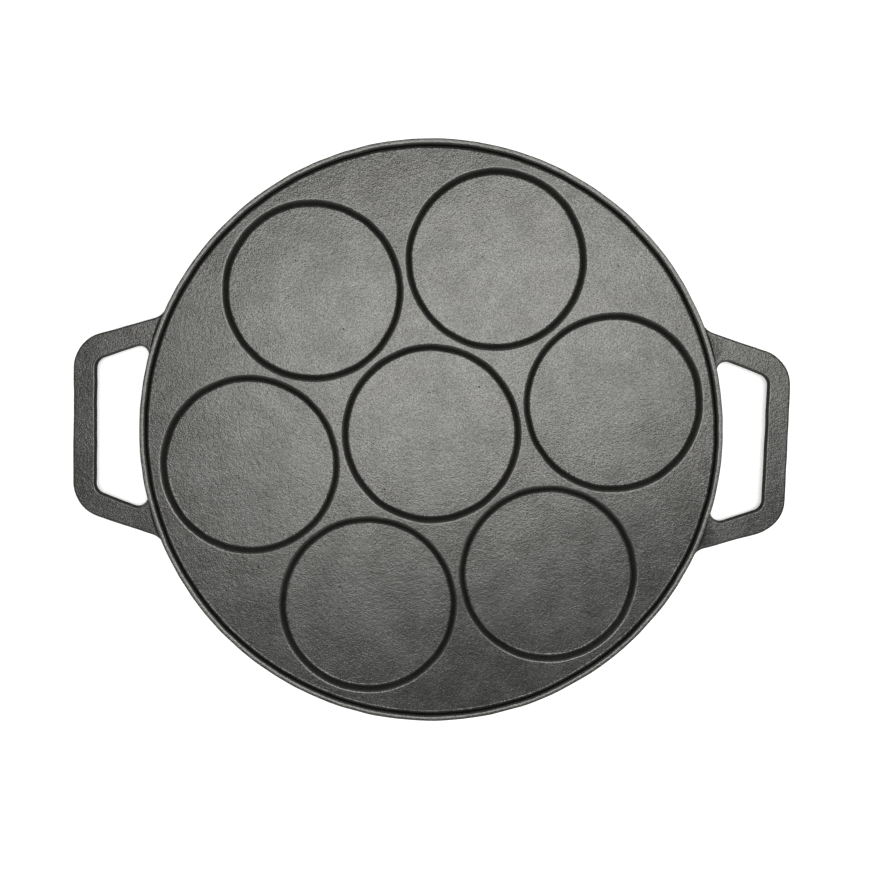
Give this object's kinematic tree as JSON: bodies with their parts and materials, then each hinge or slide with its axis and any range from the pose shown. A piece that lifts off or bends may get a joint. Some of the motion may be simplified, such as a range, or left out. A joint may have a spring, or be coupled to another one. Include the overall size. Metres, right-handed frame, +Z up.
{
  "type": "griddle pan",
  "caption": "Round cast iron griddle pan with shallow round wells inside a raised rim and a loop handle cast on each side, for frying small pancakes.",
  "frame": {"origin": "middle of the pan, on the surface that its underside pads stand on", "axes": "+X along the line through both handles, +Z up out of the wells"},
  "size_m": [0.4648, 0.38, 0.0155],
  "materials": {
    "cast_iron": "oil-seasoned sand casting, matt to satin, with a fine pebbly grain"
  },
  "bodies": {
    "root": {"griddle_plate": "cast_iron", "left_handle": "cast_iron", "right_handle": "cast_iron"}
  },
  "joints": []
}
